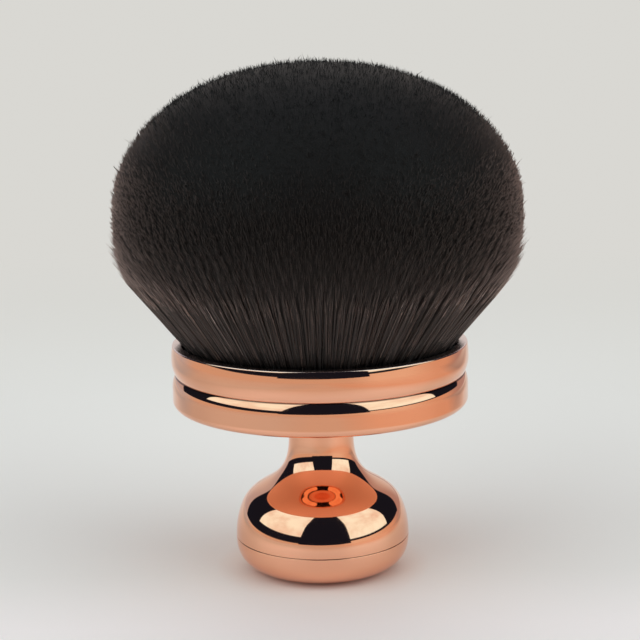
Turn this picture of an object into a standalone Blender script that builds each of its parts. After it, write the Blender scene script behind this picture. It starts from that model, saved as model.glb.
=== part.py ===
"""Round powder brush: a weighted knob handle, a wide plated ferrule and a domed tuft.

Every piece is turned about the world Z axis except the tuft, whose strands fan out of a
hexagonal pattern of cells. The knob's flat foot lies on Z = 0.
"""
import math

import bmesh
import bpy
from mathutils import Matrix, Vector

MM = 0.001

# Turning and fitting
TURN_STEPS = 48
BOWL_STEPS = 10
SHOULDER_STEPS = 6
COVE_STEPS = 13
BAND_STEPS = 4
WAIST_STEPS = 6
EDGE_STEPS = 4
MERGE_DISTANCE = 0.02 * MM
FIT_GAP = 0.3 * MM
CUT_OVERRUN = 1.0 * MM

# Knob: base cap below the seam, shoulder of the handle above it
KNOB_RADIUS = 16.0 * MM
FOOT_RADIUS = 8.0 * MM
SEAM_HEIGHT = 6.3 * MM
CAP_CORNER_POWER = 2.6
CAP_FLOOR = 2.2 * MM
SHOULDER_REACH = 7.84 * MM
SHOULDER_RISE = 11.06 * MM
SHOULDER_END = math.radians(30.7)

# Cap spigot that plugs into the handle, and the weight inside the knob
SKIRT_WALL = 2.6 * MM
SKIRT_DEPTH = 3.3 * MM
SPIGOT_WALL = 1.3 * MM
CHAMBER_RISE = 6.0 * MM
WEIGHT_EDGE = 0.6 * MM

# Cove and neck of the handle
NECK_RADIUS = 5.98 * MM
NECK_LENGTH = 6.15 * MM
COVE_RISE = 12.6 * MM
COVE_NECK_SHARE = 0.75
COVE_SHOULDER_SHARE = 0.665

# Screw joint between the neck and the ferrule floor
SCREW_RADIUS = 1.1 * MM
SCREW_POINT = 0.3 * MM
SCREW_TIP_ROOM = 2.0 * MM
SCREW_HEAD_RADIUS = 2.7 * MM
SCREW_HEAD_HEIGHT = 2.0 * MM
SCREW_HEAD_EDGE = 0.7 * MM
HEX_KEY_RADIUS = 1.2 * MM
HEX_KEY_DEPTH = 1.2 * MM
INSERT_WALL = 0.7 * MM
INSERT_LENGTH = 7.5 * MM
INSERT_FLANGE = 0.4 * MM
INSERT_FLANGE_HEIGHT = 0.8 * MM
NECK_SPIGOT_WALL = 0.7 * MM
NECK_SPIGOT_RISE = 1.3 * MM
WASHER_SEAT = 1.4 * MM
WASHER_THICKNESS = 0.8 * MM

# Ferrule: two swelling bands with a waist between them
FERRULE_RADIUS = 27.0 * MM
FERRULE_WALL = 2.0 * MM
FERRULE_FLOOR = 1.6 * MM
CORNER_REACH = 1.8 * MM
CORNER_RISE = 1.5 * MM
LOWER_BAND_INSET = 0.07 * MM
LOWER_BAND_HEIGHT = 3.63 * MM
WAIST_HANDLE = 1.12 * MM
CREASE_HEIGHT = 6.07 * MM
CREASE_INSET = 0.75 * MM
CREASE_HANDLE = 0.52 * MM
CREASE_LEAN = math.radians(44)
UPPER_BAND_RADIUS = 14.0 * MM
UPPER_BAND_TOP = math.radians(12)
LIP_RUN = 0.24 * MM
LIP_RISE = 0.35 * MM
LIP_BEVEL = 0.15 * MM

# Tuft cup and the glue that holds the fibres in it
CUP_WALL = 0.9 * MM
CUP_FLOOR = 1.2 * MM
CUP_RIM_RISE = 0.5 * MM
GLUE_THICKNESS = 1.6 * MM

# Tuft: a glued slice of roots and the strands that fan out of it
STRAND_RINGS = 8
STRAND_CLEARANCE = 0.02 * MM
ROOT_SLICE = 1.0 * MM
ROOT_RECESS = 1.9 * MM
HAIR_LENGTH = 52.7 * MM
HEAD_SWELL = 13.91 * MM
CROWN_RISE = 26.4 * MM
CROWN_POWER = 2.08
BELLY_DRAW = 6.4 * MM
FAN_SLOPE = 0.817
SWIRL = math.radians(34)
ROOT_FILL_SHARE = 0.86
BELLY_FILL_SHARE = 0.94
BELLY_LENGTH_SHARE = 0.93
CENTRE_SHARE = 0.001
HALVINGS = 40

# Radii that follow from what fits inside what
SPIGOT_RADIUS = KNOB_RADIUS - SKIRT_WALL - FIT_GAP
CAP_BORE_RADIUS = SPIGOT_RADIUS - SPIGOT_WALL
INSERT_BORE = SCREW_RADIUS + FIT_GAP
INSERT_RADIUS = INSERT_BORE + INSERT_WALL
INSERT_FLANGE_RADIUS = INSERT_RADIUS + INSERT_FLANGE
NECK_SPIGOT_RADIUS = INSERT_FLANGE_RADIUS + FIT_GAP + NECK_SPIGOT_WALL
FLOOR_HOLE_RADIUS = NECK_SPIGOT_RADIUS + FIT_GAP
FERRULE_BORE_RADIUS = FERRULE_RADIUS - FERRULE_WALL
CUP_RADIUS = FERRULE_BORE_RADIUS - FIT_GAP
CUP_BORE_RADIUS = CUP_RADIUS - CUP_WALL
GLUE_RADIUS = CUP_BORE_RADIUS - FIT_GAP
ROOT_RADIUS = GLUE_RADIUS - FAN_SLOPE * CUP_RIM_RISE
HEAD_RADIUS = ROOT_RADIUS + HEAD_SWELL

# Heights of the seats, stacked up the axis from the foot
SHOULDER_TOP = SEAM_HEIGHT + SHOULDER_RISE * math.sin(SHOULDER_END)
WEIGHT_BASE = CAP_FLOOR + FIT_GAP
CHAMBER_TOP = SEAM_HEIGHT + CHAMBER_RISE
WEIGHT_HEIGHT = CHAMBER_TOP - FIT_GAP - WEIGHT_BASE
NECK_FOOT = SHOULDER_TOP + COVE_RISE
NECK_TOP = NECK_FOOT + NECK_LENGTH
NECK_SPIGOT_TOP = NECK_TOP + NECK_SPIGOT_RISE
INSERT_FLANGE_BASE = NECK_SPIGOT_TOP - INSERT_FLANGE_HEIGHT
INSERT_BASE = INSERT_FLANGE_BASE - INSERT_LENGTH
FERRULE_BASE = NECK_TOP + FIT_GAP
FLOOR_TOP = FERRULE_BASE + FERRULE_FLOOR
WASHER_BASE = FLOOR_TOP + FIT_GAP
HEAD_BASE = WASHER_BASE + WASHER_THICKNESS + FIT_GAP
CUP_BASE = FLOOR_TOP + FIT_GAP
SHELF_BASE = HEAD_BASE + SCREW_HEAD_HEIGHT + FIT_GAP
SHELF_TOP = SHELF_BASE + CUP_FLOOR
GLUE_BASE = SHELF_TOP + FIT_GAP
ROOT_BASE = GLUE_BASE + GLUE_THICKNESS + FIT_GAP
ROOT_TOP = ROOT_BASE + ROOT_SLICE
CUP_TOP = ROOT_TOP + CUP_RIM_RISE
LIP_TOP = ROOT_TOP + ROOT_RECESS
HEAD_TOP = ROOT_TOP + HAIR_LENGTH
WIDEST = HEAD_TOP - CROWN_RISE


def clear_scene():
    for item in list(bpy.data.objects):
        bpy.data.objects.remove(item, do_unlink=True)


def collection(name):
    group = bpy.data.collections.new(name)
    bpy.context.scene.collection.children.link(group)
    return group


def linear(channel):
    """One 0 to 255 screen value as scene-linear light."""
    value = channel / 255
    return value / 12.92 if value <= 0.04045 else ((value + 0.055) / 1.055) ** 2.4


def material(name, screen_colour, roughness, metallic=0.0):
    paint = bpy.data.materials.new(name)
    paint.use_nodes = True
    shader = paint.node_tree.nodes["Principled BSDF"]
    colour = (*[linear(channel) for channel in screen_colour], 1.0)
    shader.inputs["Base Color"].default_value = colour
    shader.inputs["Roughness"].default_value = roughness
    shader.inputs["Metallic"].default_value = metallic
    paint.diffuse_color = colour
    return paint


def arc(centre, reach, rise, start, end, count, power=2.0):
    """Points on a superellipse arc, its angles counted up from straight out."""
    points = []
    for step in range(count + 1):
        angle = start + (end - start) * step / count
        across = math.copysign(abs(math.cos(angle)) ** (2 / power), math.cos(angle))
        up = math.copysign(abs(math.sin(angle)) ** (2 / power), math.sin(angle))
        points.append((centre[0] + reach * across, centre[1] + rise * up))
    return points


def bezier(first, handle_a, handle_b, last, count):
    """Points on one cubic Bezier curve, both ends included."""
    points = []
    for step in range(count + 1):
        t = step / count
        shares = ((1 - t) ** 3, 3 * t * (1 - t) ** 2, 3 * t ** 2 * (1 - t), t ** 3)
        corners = (first, handle_a, handle_b, last)
        points.append(tuple(sum(s * p[axis] for s, p in zip(shares, corners)) for axis in (0, 1)))
    return points


def turned(name, outline, seat, paint, group):
    """A solid of revolution from (radius, height) points that run down its outer side.

    An outline that ends on the axis at both ends is left open there; any other is a ring.
    """
    mesh = bpy.data.meshes.new(name)
    points = [(radius, 0.0, height) for radius, height in outline]
    edges = [(index, index + 1) for index in range(len(points) - 1)]
    if outline[0][0] > 0 or outline[-1][0] > 0:
        edges.append((len(points) - 1, 0))
    mesh.from_pydata(points, edges, [])
    mesh.materials.append(paint)
    piece = bpy.data.objects.new(name, mesh)
    piece.location.z = seat
    group.objects.link(piece)
    screw = piece.modifiers.new("turn", "SCREW")
    screw.axis = "Z"
    screw.angle = math.tau
    screw.steps = TURN_STEPS
    screw.render_steps = TURN_STEPS
    screw.use_merge_vertices = True
    screw.merge_threshold = MERGE_DISTANCE
    screw.use_smooth_shade = True
    return piece


def cut(piece, cutter):
    """Subtract a cutter from a piece and keep the cutter as a guide."""
    cutter.hide_render = True
    cutter.display_type = "WIRE"
    boolean = piece.modifiers.new("cut", "BOOLEAN")
    boolean.operation = "DIFFERENCE"
    boolean.solver = "EXACT"
    boolean.object = cutter


def base_cap(paint, group):
    """Lower half of the knob: rounded bowl with a flat foot and a spigot ring."""
    rim = SEAM_HEIGHT - FIT_GAP
    spigot_top = SEAM_HEIGHT + SKIRT_DEPTH - FIT_GAP
    outline = [(0, CAP_FLOOR), (CAP_BORE_RADIUS, CAP_FLOOR), (CAP_BORE_RADIUS, spigot_top),
               (SPIGOT_RADIUS, spigot_top), (SPIGOT_RADIUS, rim)]
    outline += arc((FOOT_RADIUS, rim), KNOB_RADIUS - FOOT_RADIUS, rim, 0, -math.pi / 2,
                   BOWL_STEPS, CAP_CORNER_POWER)
    outline += [(0, 0)]
    return turned("base_cap", outline, 0, paint, group)


def handle_shell(paint, group):
    """Upper half of the knob, cove and neck, hollow for the weight and the insert.

    Its outline is written from the seam up, so heights here are less the seam's height.
    """
    shoulder = arc((KNOB_RADIUS - SHOULDER_REACH, 0), SHOULDER_REACH, SHOULDER_RISE,
                   SHOULDER_END, 0, SHOULDER_STEPS)
    top = Vector(shoulder[0])
    along = Vector((-SHOULDER_REACH * math.sin(SHOULDER_END),
                    SHOULDER_RISE * math.cos(SHOULDER_END))).normalized()
    shoulder_handle = top + along * (top.x - NECK_RADIUS) * COVE_SHOULDER_SHARE
    neck_foot = NECK_FOOT - SEAM_HEIGHT
    neck_handle = (NECK_RADIUS, neck_foot - COVE_RISE * COVE_NECK_SHARE)
    cove = bezier((NECK_RADIUS, neck_foot), neck_handle, shoulder_handle, top, COVE_STEPS)
    neck_top = NECK_TOP - SEAM_HEIGHT
    spigot_top = NECK_SPIGOT_TOP - SEAM_HEIGHT
    bore = INSERT_RADIUS + FIT_GAP
    bore_floor = INSERT_BASE - FIT_GAP - SEAM_HEIGHT
    flange_bore = INSERT_FLANGE_RADIUS + FIT_GAP
    flange_floor = INSERT_FLANGE_BASE - FIT_GAP - SEAM_HEIGHT
    chamber_top = CHAMBER_TOP - SEAM_HEIGHT
    skirt_bore = KNOB_RADIUS - SKIRT_WALL
    outline = [(0, bore_floor), (bore, bore_floor), (bore, flange_floor),
               (flange_bore, flange_floor), (flange_bore, spigot_top),
               (NECK_SPIGOT_RADIUS, spigot_top), (NECK_SPIGOT_RADIUS, neck_top),
               (NECK_RADIUS, neck_top)]
    outline += cove
    outline += shoulder[1:]
    outline += [(skirt_bore, 0), (skirt_bore, SKIRT_DEPTH), (CAP_BORE_RADIUS, SKIRT_DEPTH),
                (CAP_BORE_RADIUS, chamber_top), (0, chamber_top)]
    return turned("handle_shell", outline, SEAM_HEIGHT, paint, group)


def base_weight(paint, group):
    """Slug that fills the chamber between the cap's floor and the handle's ceiling."""
    radius = CAP_BORE_RADIUS - FIT_GAP
    outline = [(0, WEIGHT_HEIGHT), (radius - WEIGHT_EDGE, WEIGHT_HEIGHT),
               (radius, WEIGHT_HEIGHT - WEIGHT_EDGE), (radius, WEIGHT_EDGE),
               (radius - WEIGHT_EDGE, 0), (0, 0)]
    return turned("base_weight", outline, WEIGHT_BASE, paint, group)


def thread_insert(paint, group):
    """Flanged sleeve in the neck that takes the ferrule's screw."""
    top = INSERT_LENGTH + INSERT_FLANGE_HEIGHT
    outline = [(INSERT_FLANGE_RADIUS, top), (INSERT_FLANGE_RADIUS, INSERT_LENGTH),
               (INSERT_RADIUS, INSERT_LENGTH), (INSERT_RADIUS, 0), (INSERT_BORE, 0),
               (INSERT_BORE, top)]
    return turned("thread_insert", outline, INSERT_BASE, paint, group)


def screw_washer(paint, group):
    """Plain washer that bridges the hole in the ferrule's floor."""
    radius = FLOOR_HOLE_RADIUS + WASHER_SEAT
    outline = [(radius, WASHER_THICKNESS), (radius, 0), (INSERT_BORE, 0),
               (INSERT_BORE, WASHER_THICKNESS)]
    return turned("screw_washer", outline, WASHER_BASE, paint, group)


def ferrule_screw(paint, group, guides):
    """Pan-head screw with a hexagonal key socket; its shank hangs below its seat."""
    length = HEAD_BASE - INSERT_BASE - SCREW_TIP_ROOM
    outline = [(0, SCREW_HEAD_HEIGHT)]
    outline += arc((SCREW_HEAD_RADIUS - SCREW_HEAD_EDGE, SCREW_HEAD_HEIGHT - SCREW_HEAD_EDGE),
                   SCREW_HEAD_EDGE, SCREW_HEAD_EDGE, math.pi / 2, 0, EDGE_STEPS)
    outline += [(SCREW_HEAD_RADIUS, 0), (SCREW_RADIUS, 0), (SCREW_RADIUS, SCREW_POINT - length),
                (SCREW_RADIUS - SCREW_POINT, -length), (0, -length)]
    screw = turned("ferrule_screw", outline, HEAD_BASE, paint, group)
    key = bpy.data.meshes.new("hex_key_cutter")
    shape = bmesh.new()
    bmesh.ops.create_cone(shape, cap_ends=True, segments=6, radius1=HEX_KEY_RADIUS,
                          radius2=HEX_KEY_RADIUS, depth=HEX_KEY_DEPTH + CUT_OVERRUN)
    shape.to_mesh(key)
    shape.free()
    cutter = bpy.data.objects.new("hex_key_cutter", key)
    cutter.location.z = HEAD_BASE + SCREW_HEAD_HEIGHT + (CUT_OVERRUN - HEX_KEY_DEPTH) / 2
    guides.objects.link(cutter)
    cut(screw, cutter)
    return screw


def ferrule_shell(paint, group):
    """Plated cup: two bands outside, a flat lip, and a floor that the screw passes.

    The upper band hangs from the lip. Its foot meets the waist, which leans in from the top of
    the lower band, in a crease.
    """
    lower_radius = FERRULE_RADIUS - LOWER_BAND_INSET
    corner = arc((lower_radius - CORNER_REACH, CORNER_RISE), CORNER_REACH, CORNER_RISE,
                 0, -math.pi / 2, EDGE_STEPS)
    lip_top = LIP_TOP - FERRULE_BASE
    crest = lip_top - LIP_RISE - UPPER_BAND_RADIUS * math.sin(UPPER_BAND_TOP)
    upper = arc((FERRULE_RADIUS - UPPER_BAND_RADIUS, crest), UPPER_BAND_RADIUS,
                UPPER_BAND_RADIUS, UPPER_BAND_TOP, 0, BAND_STEPS)
    drop = crest - CREASE_HEIGHT
    foot_radius = (drop ** 2 + CREASE_INSET ** 2) / (2 * CREASE_INSET)
    foot = arc((FERRULE_RADIUS - foot_radius, crest), foot_radius, foot_radius,
               0, -math.asin(drop / foot_radius), BAND_STEPS)
    out = Vector((math.sin(CREASE_LEAN), -math.cos(CREASE_LEAN)))
    waist = bezier(foot[-1], Vector(foot[-1]) + out * CREASE_HANDLE,
                   (lower_radius, LOWER_BAND_HEIGHT + WAIST_HANDLE),
                   (lower_radius, LOWER_BAND_HEIGHT), WAIST_STEPS)
    outline = [(FERRULE_BORE_RADIUS + LIP_BEVEL, lip_top), (upper[0][0] - LIP_RUN, lip_top)]
    outline += upper + foot[1:] + waist[1:] + corner
    outline += [(FLOOR_HOLE_RADIUS, 0), (FLOOR_HOLE_RADIUS, FERRULE_FLOOR),
                (FERRULE_BORE_RADIUS, FERRULE_FLOOR), (FERRULE_BORE_RADIUS, lip_top - LIP_BEVEL)]
    return turned("ferrule_shell", outline, FERRULE_BASE, paint, group)


def tuft_cup(paint, group):
    """Inner cup: a skirt over the screw head, a shelf, and the wall round the roots."""
    shelf_base = SHELF_BASE - CUP_BASE
    shelf_top = SHELF_TOP - CUP_BASE
    top = CUP_TOP - CUP_BASE
    outline = [(0, shelf_top), (CUP_BORE_RADIUS, shelf_top), (CUP_BORE_RADIUS, top),
               (CUP_RADIUS, top), (CUP_RADIUS, 0), (CUP_BORE_RADIUS, 0),
               (CUP_BORE_RADIUS, shelf_base), (0, shelf_base)]
    return turned("tuft_cup", outline, CUP_BASE, paint, group)


def glue_plug(paint, group):
    """Disc of cured glue between the cup's shelf and the roots."""
    outline = [(0, GLUE_THICKNESS), (GLUE_RADIUS, GLUE_THICKNESS), (GLUE_RADIUS, 0), (0, 0)]
    return turned("glue_plug", outline, GLUE_BASE, paint, group)


def head_radius(height):
    """Radius of the tuft's outline at a height: a full crown over a belly that draws in."""
    if height > WIDEST:
        share = min((height - WIDEST) / CROWN_RISE, 1.0)
        return HEAD_RADIUS * (1 - share ** CROWN_POWER) ** (1 / CROWN_POWER)
    return HEAD_RADIUS - BELLY_DRAW * ((WIDEST - height) / (WIDEST - ROOT_TOP)) ** 2


def fan_radius(spread, height):
    """Radius at a height of the straight strand that starts at a share of the root disc."""
    return spread * (ROOT_RADIUS + FAN_SLOPE * (height - ROOT_TOP))


def tip_height(spread):
    """Height where a strand leaves the tuft's outline, found by halving."""
    low, high = ROOT_TOP, HEAD_TOP
    for _ in range(HALVINGS):
        middle = (low + high) / 2
        if fan_radius(spread, middle) < head_radius(middle):
            low = middle
        else:
            high = middle
    return low


def fan_point(cell, share):
    """Point at a share of its length along the strand that starts at a point of the unit disc."""
    spread = cell.length
    height = ROOT_TOP + share * (tip_height(spread) - ROOT_TOP)
    stretch = fan_radius(1.0, height)
    return Vector((cell.x * stretch, cell.y * stretch, height))


def on_disc(point):
    """Move a point of the unit hexagon onto the unit disc, ring by ring, with a slow swirl."""
    if point.length < CENTRE_SHARE:
        return Vector((0, 0))
    sides = [math.radians(angle) for angle in (0, 60, 120)]
    ring = max(abs(point.x * math.cos(side) + point.y * math.sin(side)) for side in sides)
    share = ring / math.cos(math.pi / 6)
    spot = point.normalized() * share
    spot.rotate(Matrix.Rotation(SWIRL * share, 2))
    return spot


def place(face, cell, fill, share):
    """Set a triangle's corners on its cell, drawn in to a fill share, up the strand."""
    middle = sum(cell, Vector((0, 0))) / len(cell)
    for vertex, corner in zip(face.verts, cell):
        vertex.co = fan_point(middle + (corner - middle) * fill, share)
    return middle


def grow_strand(shape, face):
    """Turn one triangle of the root disc into a pointed strand, clear of its neighbours."""
    bmesh.ops.inset_individual(shape, faces=[face], thickness=STRAND_CLEARANCE)
    cell = [Vector(vertex.co.xy) / ROOT_RADIUS for vertex in face.verts]
    place(face, cell, ROOT_FILL_SHARE, 0.0)
    belly = bmesh.ops.extrude_discrete_faces(shape, faces=[face])["faces"][0]
    middle = place(belly, cell, BELLY_FILL_SHARE, BELLY_LENGTH_SHARE)
    tip = bmesh.ops.poke(shape, faces=[belly])["verts"][0]
    tip.co = fan_point(middle, 1.0)


def bristle_tuft(paint, group):
    """Strands of three sides, each in its own cell of the fan, fused to a slice of roots."""
    shape = bmesh.new()
    bmesh.ops.create_circle(shape, cap_ends=True, cap_tris=True, segments=6, radius=1.0)
    bmesh.ops.subdivide_edges(shape, edges=shape.edges[:], cuts=STRAND_RINGS - 1,
                              use_grid_fill=True)
    for vertex in shape.verts:
        spot = on_disc(vertex.co.xy) * ROOT_RADIUS
        vertex.co = (spot.x, spot.y, ROOT_TOP)
    lower = bmesh.ops.duplicate(shape, geom=shape.faces[:])["geom"]
    corners = [item for item in lower if isinstance(item, bmesh.types.BMVert)]
    floor = [item for item in lower if isinstance(item, bmesh.types.BMFace)]
    bmesh.ops.translate(shape, verts=corners, vec=(0, 0, -ROOT_SLICE))
    bmesh.ops.dissolve_faces(shape, faces=floor)
    bmesh.ops.bridge_loops(shape, edges=[edge for edge in shape.edges if edge.is_boundary])
    bmesh.ops.recalc_face_normals(shape, faces=shape.faces[:])
    cells = [face for face in shape.faces if len(face.verts) == 3]
    for face in cells:
        grow_strand(shape, face)
    mesh = bpy.data.meshes.new("bristle_tuft")
    shape.to_mesh(mesh)
    shape.free()
    mesh.materials.append(paint)
    tuft = bpy.data.objects.new("bristle_tuft", mesh)
    group.objects.link(tuft)
    return tuft


def build():
    clear_scene()
    parts = collection("powder_brush")
    guides = collection("cutters")
    plating = material("rose_gold_plating", (214, 150, 118), 0.08, 1.0)
    fibre = material("dark_fibre", (38, 33, 31), 0.6)
    moulding = material("black_moulding", (22, 21, 22), 0.4)
    glue = material("cured_glue", (150, 120, 80), 0.3)
    steel = material("plain_steel", (150, 152, 155), 0.35, 1.0)
    brass = material("insert_brass", (190, 155, 85), 0.3, 1.0)
    axis = bpy.data.objects.new("brush_axis", None)
    parts.objects.link(axis)
    pieces = [
        base_cap(plating, parts),
        base_weight(steel, parts),
        handle_shell(plating, parts),
        thread_insert(brass, parts),
        ferrule_shell(plating, parts),
        screw_washer(steel, parts),
        ferrule_screw(steel, parts, guides),
        tuft_cup(moulding, parts),
        glue_plug(glue, parts),
        bristle_tuft(fibre, parts),
    ]
    for piece in pieces:
        piece.parent = axis


build()
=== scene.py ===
"""Looks of the powder brush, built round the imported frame.

The plated pieces are turned again at a fine step from the same outlines as the frame's, the
tuft is grown fibre by fibre round a dark core, and the rest keeps its mesh and gets a finish.
"""

import math

import bmesh
import bpy
import numpy as np
from mathutils import Matrix, Vector


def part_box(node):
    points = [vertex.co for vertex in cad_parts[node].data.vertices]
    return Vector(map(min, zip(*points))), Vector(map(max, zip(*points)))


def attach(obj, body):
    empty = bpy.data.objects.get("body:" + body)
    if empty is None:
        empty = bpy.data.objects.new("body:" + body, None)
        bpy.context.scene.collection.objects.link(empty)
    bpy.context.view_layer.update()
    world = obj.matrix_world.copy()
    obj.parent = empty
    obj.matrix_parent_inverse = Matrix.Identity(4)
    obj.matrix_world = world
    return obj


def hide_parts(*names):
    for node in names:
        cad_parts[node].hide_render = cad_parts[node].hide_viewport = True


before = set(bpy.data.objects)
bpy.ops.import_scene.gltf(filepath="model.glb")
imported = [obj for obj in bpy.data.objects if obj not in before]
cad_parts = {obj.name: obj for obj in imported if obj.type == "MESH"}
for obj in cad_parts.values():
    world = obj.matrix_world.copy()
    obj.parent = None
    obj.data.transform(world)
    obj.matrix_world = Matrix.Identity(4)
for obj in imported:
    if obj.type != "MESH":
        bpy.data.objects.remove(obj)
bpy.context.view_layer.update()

MM = 0.001

# Sizes read from the frame
KNOB_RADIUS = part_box("handle_shell")[1].x
SEAM_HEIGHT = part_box("handle_shell")[0].z
NECK_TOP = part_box("ferrule_shell")[0].z
FERRULE_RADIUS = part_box("ferrule_shell")[1].x
LIP_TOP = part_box("ferrule_shell")[1].z
ROOT_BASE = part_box("bristle_tuft")[0].z

# Turning
TURNS = 256
OUTLINE_STEP = 0.35 * MM
EDGE_ROUND = 0.08 * MM
EDGE_POINTS = 4
EDGE_SHARE = 0.4
CORNER_TURN = math.radians(20)
SHARP_TURN = math.radians(35)
ON_AXIS = 0.001 * MM

# Knob and neck outline
FOOT_RADIUS = 8.0 * MM
CAP_CORNER_POWER = 2.6
SEAM_GAP = 0.08 * MM
CAP_FLOOR = 2.2 * MM
SHOULDER_REACH = 7.84 * MM
SHOULDER_RISE = 11.06 * MM
SHOULDER_END = math.radians(30.7)
NECK_RADIUS = 5.98 * MM
COVE_TOP = 24.55 * MM
COVE_NECK_HANDLE = 9.45 * MM
COVE_SHOULDER_HANDLE = 5.93 * MM
SKIRT_WALL = 2.6 * MM
SKIRT_DEPTH = 3.3 * MM
CHAMBER_RADIUS = 11.8 * MM
CHAMBER_RISE = 6.0 * MM
SPIGOT_RADIUS = 13.1 * MM
NECK_SPIGOT_RADIUS = 3.5 * MM
NECK_SPIGOT_RISE = 1.3 * MM
SPIGOT_GAP = 0.3 * MM
NECK_GAP = 0.05 * MM
INSERT_SEAT_RADIUS = 2.4 * MM
INSERT_SEAT_FLOOR = 23.4 * MM
CURVE_POINTS = 40

# Ferrule outline
CORNER_REACH = 1.8 * MM
CORNER_RISE = 1.5 * MM
LOWER_BAND_INSET = 0.07 * MM
LOWER_BAND_HEIGHT = 3.63 * MM
WAIST_HANDLE = 1.12 * MM
CREASE_HEIGHT = 6.07 * MM
CREASE_INSET = 0.75 * MM
CREASE_HANDLE = 0.52 * MM
CREASE_LEAN = math.radians(44)
UPPER_BAND_RADIUS = 14.0 * MM
UPPER_BAND_TOP = math.radians(10.2)
LIP_ROUND = 0.3 * MM
LIP_BEVEL = 0.15 * MM
# Height of the lip band, duller from wear, and paler from wear and as a painted highlight
LIP_WEAR_AND_HIGHLIGHT = 0.2 * MM
FERRULE_WALL = 2.0 * MM
FERRULE_FLOOR = 1.6 * MM
FLOOR_HOLE_RADIUS = 3.8 * MM

# Tuft
ROOT_SLICE = 1.0 * MM
CROWN_OVER = 0.2 * MM
ROOT_TOP = ROOT_BASE + ROOT_SLICE
ROOT_RADIUS = 23.09 * MM
FAN_SLOPE = 0.817
HEAD_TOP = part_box("bristle_tuft")[1].z + CROWN_OVER
HEAD_RADIUS = 36.75 * MM
CROWN_RISE = 26.4 * MM
CROWN_POWER = 2.08
WIDEST = HEAD_TOP - CROWN_RISE
BELLY_DROP = 31.0 * MM
BELLY_POWER = 2.63
CORNER_SOFTNESS = 0.52 * MM
CORE_DEPTH = 1.0 * MM
CORE_TURNS = 96
CORE_BELLY_ROWS = 30
CORE_CROWN_ROWS = 40
STEEPEST = 50.0
OUTLINE_POINTS = 400
HALVINGS = 30

# Fibres: how many, and where each kind gives way to the next, as shares of the root disc
BATCHES = ("crown", "crown", "middle", "flank", "flank", "flank")
FIBRES_PER_BATCH = 12000
CROWN_EDGE = (0.42, 0.60)
FLANK_EDGE = (0.60, 0.76)
DRAWS_PER_FIBRE = 8
SEED = 11

# One fibre: three sides, two joints, each at a least share and a random part, and a point
SIDES = 3
JOINT_SHARES = ((0.12, 0.26), (0.70, 0.22))
CORNERS = SIDES * (len(JOINT_SHARES) + 1) + 1
FIBRE_RADIUS = 0.069 * MM
THICK_LEAST = 0.75
THICK_RANGE = 0.5
SIDE_GUIDE = (0.3, 0.2, 1.0)
TINY = 1e-9
UV_FILL = 0.9

# How the fibres gather into clumps
CLUMPS = 2600
CLUMP_SHAKE = 0.25
CLUMP_PULL = 0.12
FLANK_PULL = 0.45
SEARCH_BLOCKS = 40
WANDER = 0.0028
STRAY_WANDER = 2.5

# Where the fibres start and end, in shares of their length unless a size is given
START_RAMP = 0.16
HIDDEN_SHARE = 0.88
EDGE_START = 0.75
EDGE_WIDTH = 0.2
OUTER_SPREAD = 0.93
LARGEST_SPREAD = 0.995
TIP_SCATTER = 0.009
FLANK_SCATTER = 0.03
SCATTER_LIMIT = 0.4
STRAY_SHARE = 0.012
STRAY_REACH = 0.02
LOCK_REACH = 0.22
LOCK_SHARE = 0.35
LONE_REACH = 0.08
LONE_SHARE = 0.16
FUZZ = 0.65 * MM
TIP_INSET = 0.45 * MM

# Tones and shading of the fibres
# Tone low down, at the widest and at the crown, where its fall is painted shade
TONE_LOW = 0.9
TONE_MIDDLE = 0.2
CROWN_PAINTED_SHADE_TONE = 0.04
CLUMP_CHANGE = 0.35
OWN_CHANGE = 0.65
CHANGE_TOP = 0.25
CHANGE_LOW = 2.5
# Painted glints: fibres past the edge tone are made much paler low down; the plain share makes every
# fibre paler low down
GLINT_EDGE = 0.85
GLINT_BRIGHT = 0.68
GLINT_PLAIN = 0.4
# Painted shade on the fibres just over the lip: its height and the least tone it leaves
ROOT_SHADE = 4.0 * MM
ROOT_SHADE_LEAST = 0.15
OWN_NORMAL = {"crown": (0.2, 0.05), "middle": (0.3, 0.07), "flank": (0.5, 0.08)}
FIBRE_LEAN = 0.35
# Sheen of the fibre paint's copies: least as painted shade on the crown and roots, most as painted
# light on the flank tips
DEEP_SHADE_SHEEN = 0.03
SHADED_SHEEN = 0.27
LIT_SHEEN = 0.8
CORE_SHEEN = 0.12

# Colours of the materials
PLATING = (0.96, 0.50, 0.325)
PLATING_DEEP = (0.95, 0.48, 0.305)
# Colour of the painted shade under the ferrule's crease
PLATING_SHADE = (0.10, 0.04, 0.03)
# Colour of the lip, paler from wear and as a painted highlight
PLATING_WORN_AND_HIGHLIGHT = (0.96, 0.74, 0.71)
MOULDING_DARK = (0.010, 0.008, 0.008)
MOULDING_PALE = (0.018, 0.014, 0.013)
GLUE_AMBER = (0.42, 0.29, 0.14)
GLUE_CLOUDY = (0.55, 0.43, 0.26)
STEEL_BRIGHT = (0.58, 0.58, 0.59)
STEEL_DULL = (0.46, 0.46, 0.48)
BRASS_BRIGHT = (0.80, 0.60, 0.28)
BRASS_DULL = (0.68, 0.48, 0.20)
FIBRE_DARK = (0.0025, 0.0026, 0.003)
FIBRE_PALE = (0.044, 0.037, 0.035)
SHEEN_TINT = (1.0, 0.74, 0.66, 1.0)

# Relief and roughness of the materials
GRAIN_RANGE = (0.3, 0.7)
SMUDGE_RANGE = (0.45, 0.75)
STREAK_LEAST = 0.7
STREAK_MOST = 1.3
LIP_DULL = 0.2
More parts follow.
